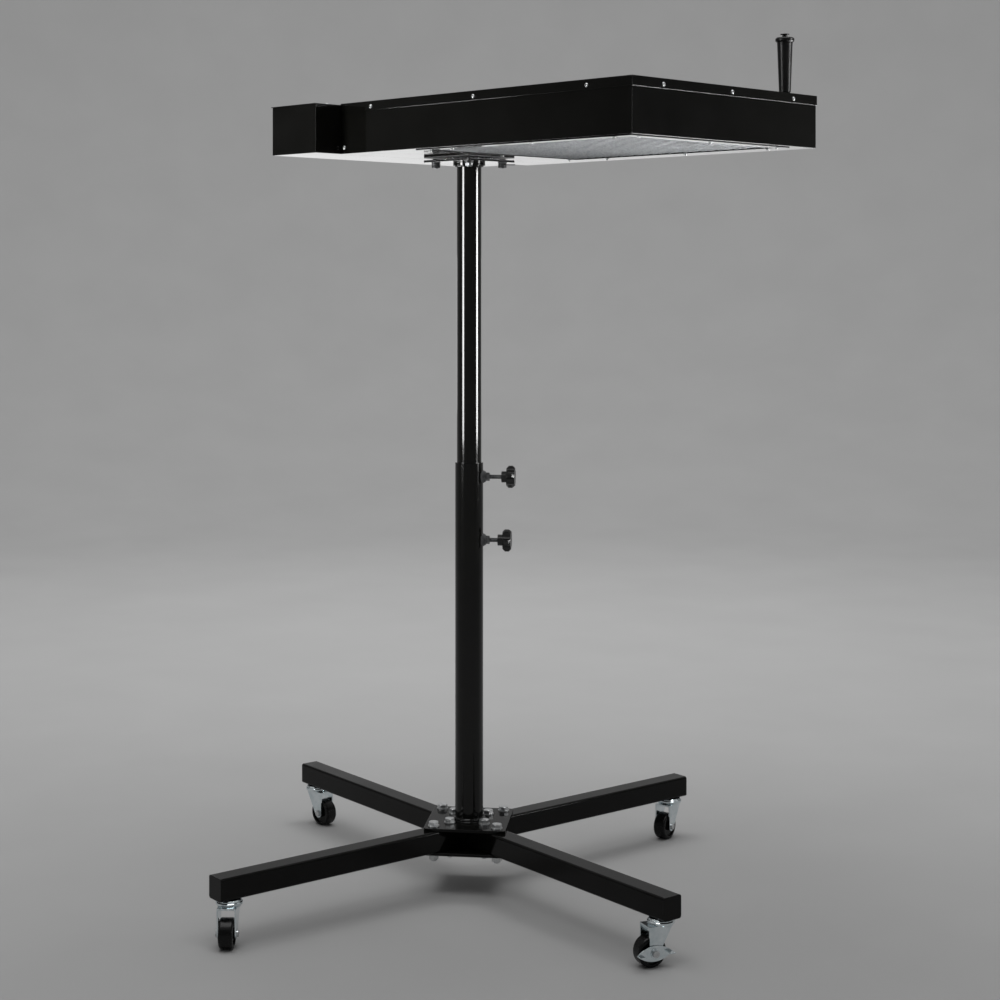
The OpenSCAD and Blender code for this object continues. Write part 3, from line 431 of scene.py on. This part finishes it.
def make_stud(node, body):
    """A stud with its thread, in place of the plain rod."""
    pitch, depth, per_turn, around = 1.25 * MM, 0.6 * MM, 6, 20
    points = solids(node)[0]
    middle, direction, half = long_axis(points)
    radius = (points[:, 2].max() - points[:, 2].min()) / 2
    at = facing(middle - direction * half, direction)
    count = int(2 * half / pitch * per_turn)
    bm = bmesh.new()
    rings = []
    for i in range(count + 1):
        z = 2 * half * i / count
        ring = []
        for k in range(around):
            a = 2 * math.pi * k / around
            share = (z / pitch - k / around) % 1.0
            r = radius - depth * abs(2 * share - 1)
            ring.append(bm.verts.new(at @ Vector((r * math.cos(a), r * math.sin(a), z))))
        rings.append(ring)
    for low, high in zip(rings, rings[1:]):
        for k in range(around):
            n = (k + 1) % around
            bm.faces.new([low[k], low[n], high[n], high[k]]).smooth = True
    bm.faces.new(list(reversed(rings[0])))
    bm.faces.new(rings[-1])
    piece(node + "_thread", bm, body, "dark_zinc", replaces=[node])


def make_weld(name, body, slot, radius, z, thickness):
    """A rippled weld bead round the mast."""
    steps, ripples, ripple_share = 240, 60, 0.06
    ring = []
    for i in range(steps):
        a = 2 * math.pi * i / steps
        ring.append((radius * math.cos(a), radius * math.sin(a), z))

    def swell(i):
        return thickness * (1 + ripple_share * abs(math.sin(ripples * math.pi * i / steps)))

    bm = bmesh.new()
    sweep(bm, ring, swell, sides=10, closed=True)
    piece(name, bm, body, slot)


def make_heater_tubes():
    """Quartz shells with end caps, and the heating coil in each."""
    wall, cap, cap_edge = 1.2 * MM, 9 * MM, 0.5 * MM
    coil_wire, coil_pitch, per_turn = 0.45 * MM, 3.4 * MM, 12
    cap_face_share, coil_share, around = 0.92, 0.55, 24
    shells, coils = bmesh.new(), bmesh.new()
    for points in solids("heater_tubes"):
        middle, direction, half = long_axis(points)
        radius = (points[:, 2].max() - points[:, 2].min()) / 2
        at = facing(middle - direction * half, direction)
        length = 2 * half
        lathe(shells, [(radius, cap), (radius, length - cap)], around, at)
        lathe(shells, [(radius - wall, length - cap), (radius - wall, cap)], around, at)
        for start, end in ((0, cap), (length - cap, length)):
            profile = [(0, start), (cap_face_share * radius, start), (radius, start + cap_edge)]
            profile += [(radius, end - cap_edge), (cap_face_share * radius, end), (0, end)]
            lathe(shells, profile, around, at, material=1)
        inner, inset = coil_share * radius, 1.5 * cap
        run = length - 2 * inset
        count = int(run / coil_pitch * per_turn)
        path = []
        for i in range(count + 1):
            a = 2 * math.pi * i / per_turn
            path.append(at @ Vector((inner * math.cos(a), inner * math.sin(a), inset + run * i / count)))
        sweep(coils, path, coil_wire, sides=5)
    metal = MATERIALS["zinc"]
    piece("quartz_tubes", shells, "head", "quartz", [MATERIALS["quartz"], metal], ["heater_tubes"])
    piece("heating_coils", coils, "head", "dark_zinc")


def make_reflector_ribs():
    """Rounded ribs that run up both slopes of the reflector's roof, in a lighter copy of its sheet that
    paints a highlight along them.
    """
    low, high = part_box("reflector")
    points = np.array([v.co for v in NODES["reflector"].data.vertices])
    near = 0.1 * MM
    crown = points[points[:, 2] > high.z - near]
    side = points[points[:, 1] < low.y + near]
    lip, crown_y = side[:, 2].max(), crown[:, 1].min()
    sheet, radius, pitch = 1 * MM, 3 * MM, 19 * MM
    path_shares = (0.02, 0.25, 0.5, 0.75, 0.98)
    run = crown_y - low.y - 2 * sheet
    count = round((high.x - low.x) / pitch)
    bm = bmesh.new()
    for i in range(1, count):
        x = low.x + (high.x - low.x) * i / count
        for start, way in ((low.y + 2 * sheet, 1), (high.y - 2 * sheet, -1)):
            path = []
            for share in path_shares:
                z = lip + (high.z - lip) * share - sheet
                path.append(Vector((x, start + way * run * share, z)))
            sweep(bm, path, radius, sides=10)
    piece("reflector_ribs", bm, "head", "reflector_sheet", [MATERIALS["rib_sheet_painted_highlight"]])


def make_panel_marks():
    """The dial's pointer and the ticks of its scale."""
    pointer_depth, pointer_width = 0.4 * MM, 1.4 * MM
    pointer_length_share, pointer_place_share = 0.5, 0.55
    tick_depth, tick_width, tick_gap, lift = 0.2 * MM, 0.7 * MM, 4 * MM, 0.1 * MM
    short_tick, long_tick, long_every = 2.5 * MM, 4 * MM, 5
    ticks, turn_range = 11, math.radians(270)
    low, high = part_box("dial")
    y, z = (low.y + high.y) / 2, (low.z + high.z) / 2
    radius = (high.y - low.y) / 2
    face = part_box("control_box")[0].x
    pointer = bmesh.new()
    at = Matrix.Translation((low.x - lift, y, z + pointer_place_share * radius))
    block(pointer, (pointer_depth, pointer_width, pointer_length_share * radius), at)
    piece("dial_pointer", pointer, "control_dial", "knob_plastic", [MARKING])
    scale = bmesh.new()
    for i in range(ticks):
        a = turn_range * (i / (ticks - 1) - 0.5)
        turn = Matrix.Translation((face - lift, y, z)) @ Matrix.Rotation(a, 4, "X")
        length = short_tick if i % long_every else long_tick
        out = turn @ Matrix.Translation((0, 0, radius + tick_gap))
        block(scale, (tick_depth, tick_width, length), out)
    piece("dial_scale", scale, "head", "head_paint", [MARKING])


def make_gland_ribs():
    """Grip ribs round the gland's cap."""
    low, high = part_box("cable_gland")
    y, z = (low.y + high.y) / 2, (low.z + high.z) / 2
    ribs, radius, length, width, inset = 14, 11 * MM, 11 * MM, 1.6 * MM, 8.5 * MM
    bm = bmesh.new()
    for i in range(ribs):
        turn = Matrix.Rotation(2 * math.pi * i / ribs, 4, "X")
        at = Matrix.Translation((low.x + inset, y, z)) @ turn @ Matrix.Translation((0, 0, radius))
        block(bm, (length, width, width), at)
    piece("gland_ribs", bm, "head", "gland_plastic")


def make_welds():
    """The beads at the fixed tube's foot and under the flange's collar."""
    foot_inset, foot_rise, foot_bead = 3 * MM, 2.4 * MM, 2.1 * MM
    collar_offset, collar_drop, collar_bead = 2.2 * MM, 0.3 * MM, 1.8 * MM
    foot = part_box("outer_tube")[1].x - foot_inset
    hub_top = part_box("hub_top_plate")[1].z
    make_weld("foot_weld", "base", "base_paint", foot, hub_top + foot_rise, foot_bead)
    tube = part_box("inner_tube")[1].x + collar_offset
    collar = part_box("mast_flange")[0].z
    make_weld("collar_weld", "mast", "mast_paint", tube, collar - collar_drop, collar_bead)


def make_details():
    """The pieces that the scene adds to the CAD, or puts in its place."""
    make_screws("cover_screws", "head")
    make_screws("guard_screws", "head")
    make_stud("upper_stud", "upper_clamp_screw")
    make_stud("lower_stud", "lower_clamp_screw")
    make_welds()
    make_heater_tubes()
    make_reflector_ribs()
    make_panel_marks()
    make_gland_ribs()


# Studio


def make_stage():
    """A pale floor that curves up into a round wall, well outside every camera."""
    floor_rings, bend, wall = (0.0, 1.5, 3.5, 4.6), 3.4, 2.7
    steps, around, cloud_cells = 32, 128, 3
    dark, light = (0.36, 0.36, 0.36), (0.375, 0.375, 0.375)
    floor_radius = floor_rings[-1]
    profile = [(radius, 0.0) for radius in floor_rings]
    for i in range(1, steps + 1):
        a = math.pi / 2 * i / steps
        profile.append((floor_radius + bend * math.sin(a), bend * (1 - math.cos(a))))
    profile.append((floor_radius + bend, bend + wall))
    bm = bmesh.new()
    lathe(bm, profile, around)
    mesh = bpy.data.meshes.new("studio_floor")
    bm.to_mesh(mesh)
    bm.free()
    floor = bpy.data.objects.new("studio_floor", mesh)
    bpy.context.scene.collection.objects.link(floor)
    t = Tree("studio_floor")
    t.set(Specular_IOR_Level=0.1)
    cloud = t.noise(cloud_cells, 3, 0.5)
    colour = t.ramp(cloud, [(0.3, dark), (0.7, light)])
    t.link(colour, "Color", t.shader, "Base Color")
    rough = t.ramp(cloud, [(0.3, 0.85), (0.7, 0.95)])
    t.link(rough, "Color", t.shader, "Roughness")
    mesh.materials.append(t.material)


def softbox(name, place, target, size, power, spread=180):
    """A soft lamp that the camera doesn't see; size in metres, power in watts, spread in degrees."""
    data = bpy.data.lights.new(name, "AREA")
    data.shape = "RECTANGLE"
    data.size, data.size_y = size
    data.energy = power
    data.spread = math.radians(spread)
    lamp = bpy.data.objects.new(name, data)
    lamp.location = place
    lamp.rotation_euler = (Vector(target) - Vector(place)).to_track_quat("-Z", "Y").to_euler()
    lamp.visible_camera = False
    bpy.context.scene.collection.objects.link(lamp)


def around_mast(angle, distance, height):
    """A place at an angle from the camera's side of the mast, positive to the camera's right."""
    a = math.radians(CAMERA_TURN - 90 + angle)
    return (distance * math.cos(a), distance * math.sin(a), height)


def make_lights():
    """Mast strips, a lamp above, two at the head's edges, a low one behind and a wash on the wall."""
    mast_left, mast_right, floor, behind = (0, 0, 1.2), (0, 0, 1.25), (0, 0, 0), (0, 0, 0.9)
    head_left, head_right, wall = (-0.15, -0.25, 1.3), (0.56, 0.1, 1.3), around_mast(180, 8.0, 1.6)
    softbox("left_strip", around_mast(-58, 2.9, 1.2), mast_left, (0.9, 1.3), power=4.5, spread=30)
    softbox("right_strip", around_mast(76, 2.9, 1.25), mast_right, (0.5, 1.4), power=3, spread=30)
    softbox("overhead", (0.3, -0.2, 4.6), floor, (4.0, 4.0), power=132)
    softbox("edge_left", (-0.95, -0.35, 0.3), head_left, (1.2, 0.3), power=2.0, spread=40)
    softbox("edge_right", (0.65, 1.15, 0.3), head_right, (0.3, 1.0), power=2.0, spread=40)
    softbox("low_back", around_mast(186, 5.0, 0.85), behind, (5.0, 0.7), power=1.0, spread=60)
    softbox("backdrop_wash", around_mast(180, 1.5, 4.6), wall, (4.0, 1.5), power=205)


def make_world():
    """An even grey light from all sides."""
    world = bpy.data.worlds.new("studio")
    world.use_nodes = True
    background = world.node_tree.nodes["Background"]
    background.inputs["Color"].default_value = (0.5, 0.5, 0.5, 1)
    background.inputs["Strength"].default_value = 0.8
    bpy.context.scene.world = world


make_camera()
dress_nodes()
make_details()
make_stage()
make_lights()
make_world()
bpy.context.scene.view_settings.view_transform = "Standard"
